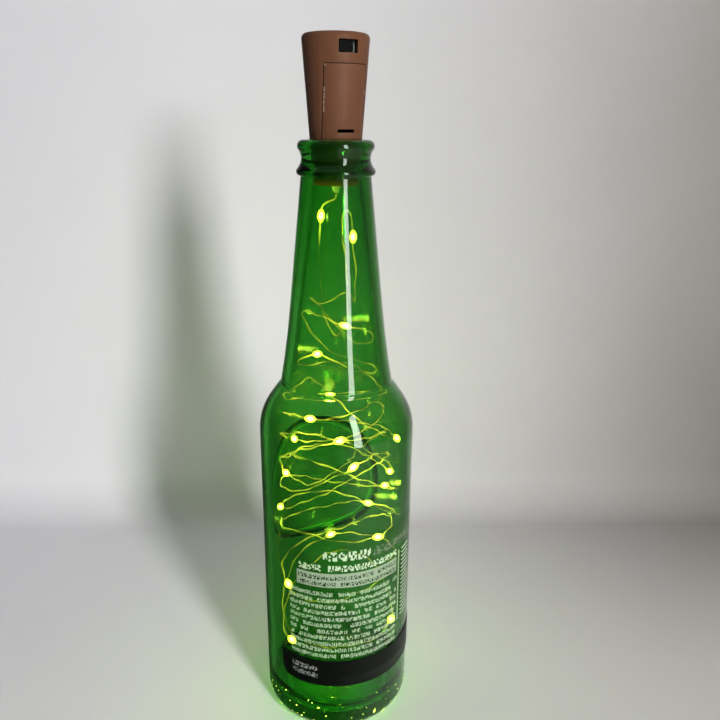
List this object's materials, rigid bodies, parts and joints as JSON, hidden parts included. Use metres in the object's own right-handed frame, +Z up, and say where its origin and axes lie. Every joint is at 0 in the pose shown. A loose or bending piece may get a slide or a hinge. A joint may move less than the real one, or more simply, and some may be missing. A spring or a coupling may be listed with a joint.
{
  "type": "bottle table lamp",
  "caption": "Green glass long-neck bottle lit from inside by a wire light string, which hangs from a cork-shaped battery stopper with a slide switch and a battery door.",
  "frame": {"origin": "centre of the bottle's foot, on the surface that it stands on", "axes": "+Z up along the bottle's axis; -Y is the side of the stopper's switch and battery door and of the back label; +X is to the right seen from -Y"},
  "size_m": [0.0592, 0.0598, 0.2616],
  "materials": {
    "green_glass": "clear green bottle glass",
    "label_film": "printed clear film",
    "brown_plastic": "satin moulded brown",
    "black_plastic": "satin black",
    "board_laminate": "green lacquered laminate",
    "steel": "nickel-plated",
    "copper_wire": "lacquered copper",
    "seal_rubber": "matt",
    "clear_resin": "clear resin drop, lit warm yellow"
  },
  "bodies": {
    "bottle": {"bottle": "green_glass", "back_label": "label_film", "front_label": "label_film", "wire_loops": "copper_wire", "led_bead_03": "clear_resin", "led_bead_04": "clear_resin", "led_bead_05": "clear_resin", "led_bead_06": "clear_resin", "led_bead_07": "clear_resin", "led_bead_08": "clear_resin", "led_bead_09": "clear_resin", "led_bead_10": "clear_resin", "led_bead_11": "clear_resin", "led_bead_12": "clear_resin", "led_bead_13": "clear_resin", "led_bead_14": "clear_resin", "led_bead_15": "clear_resin", "led_bead_16": "clear_resin", "led_bead_17": "clear_resin", "led_bead_18": "clear_resin", "led_bead_19": "clear_resin", "led_bead_20": "clear_resin"},
    "stopper": {"front_shell": "brown_plastic", "rear_shell": "brown_plastic", "circuit_board": "board_laminate", "resistor": "black_plastic", "switch_body": "steel", "contact_spring": "steel", "negative_contact": "steel", "positive_contact": "steel", "battery_cell_1": "steel", "battery_cell_2": "steel", "battery_cell_3": "steel", "wire_seal": "seal_rubber", "feed_wire": "copper_wire", "wire_lead": "copper_wire", "led_bead_01": "clear_resin", "led_bead_02": "clear_resin"},
    "battery_door": {"battery_door": "brown_plastic"},
    "switch_slider": {"switch_slider": "black_plastic"}
  },
  "joints": [
    {"name": "stopper_lift", "type": "slide", "parent": "bottle", "child": "stopper", "axis": [0, 0, 1], "range_m": [0, 0.025]},
    {"name": "battery_door_lift", "type": "slide", "parent": "stopper", "child": "battery_door", "axis": [0, -1, 0], "range_m": [0, 0.02]},
    {"name": "switch_slide", "type": "slide", "parent": "stopper", "child": "switch_slider", "axis": [1, 0, 0], "range_m": [0, 0.0015]}
  ]
}
